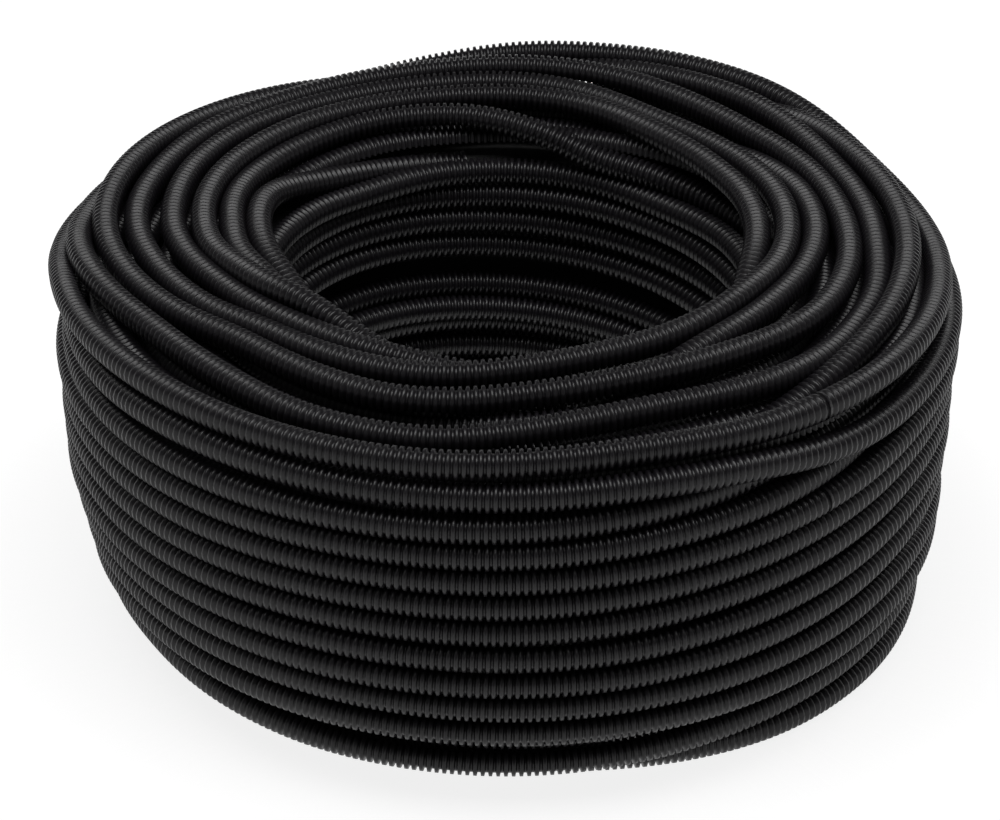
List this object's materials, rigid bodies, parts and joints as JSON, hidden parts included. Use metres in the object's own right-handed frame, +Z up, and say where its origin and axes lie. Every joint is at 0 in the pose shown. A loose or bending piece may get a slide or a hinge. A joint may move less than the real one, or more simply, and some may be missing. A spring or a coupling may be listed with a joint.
{
  "type": "coil of split corrugated conduit",
  "caption": "Coil of black corrugated split conduit, wound in layers round an open bore, with ribbed hollow free ends.",
  "frame": {"origin": "on the coil's axis, at floor level", "axes": "+Z up along the coil's axis, -Y towards the front as it is seen"},
  "size_m": [0.3418, 0.3418, 0.1482],
  "materials": {
    "conduit": "black polyethylene with a soft gloss, ribbed all round"
  },
  "bodies": {
    "root": {"conduit_coil": "conduit"}
  },
  "joints": []
}
